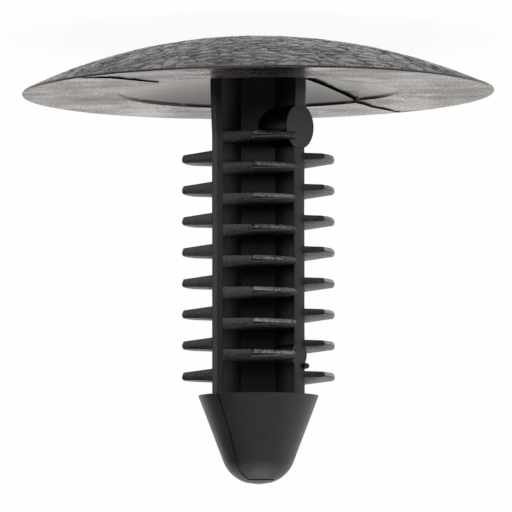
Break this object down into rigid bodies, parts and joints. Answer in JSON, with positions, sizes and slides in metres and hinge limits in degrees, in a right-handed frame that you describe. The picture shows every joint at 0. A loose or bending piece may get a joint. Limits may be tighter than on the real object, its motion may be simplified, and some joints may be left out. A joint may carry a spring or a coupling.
{
  "type": "push-in retainer clip",
  "caption": "One-piece nylon push-in clip: wide grained dome head, cross-shaped stem with rows of thin flexible fins, and a blunt cone nose.",
  "frame": {"origin": "middle of the dome, where it touches the surface that the clip stands on", "axes": "+Z along the stem from the head to the nose; -X and -Y halve the arm with the two ejector pads"},
  "size_m": [0.038, 0.038, 0.0358],
  "materials": {
    "black_nylon": "moulded black nylon, leather grain on the dome, satin elsewhere"
  },
  "bodies": {
    "root": {"retainer_clip": "black_nylon"}
  },
  "joints": []
}
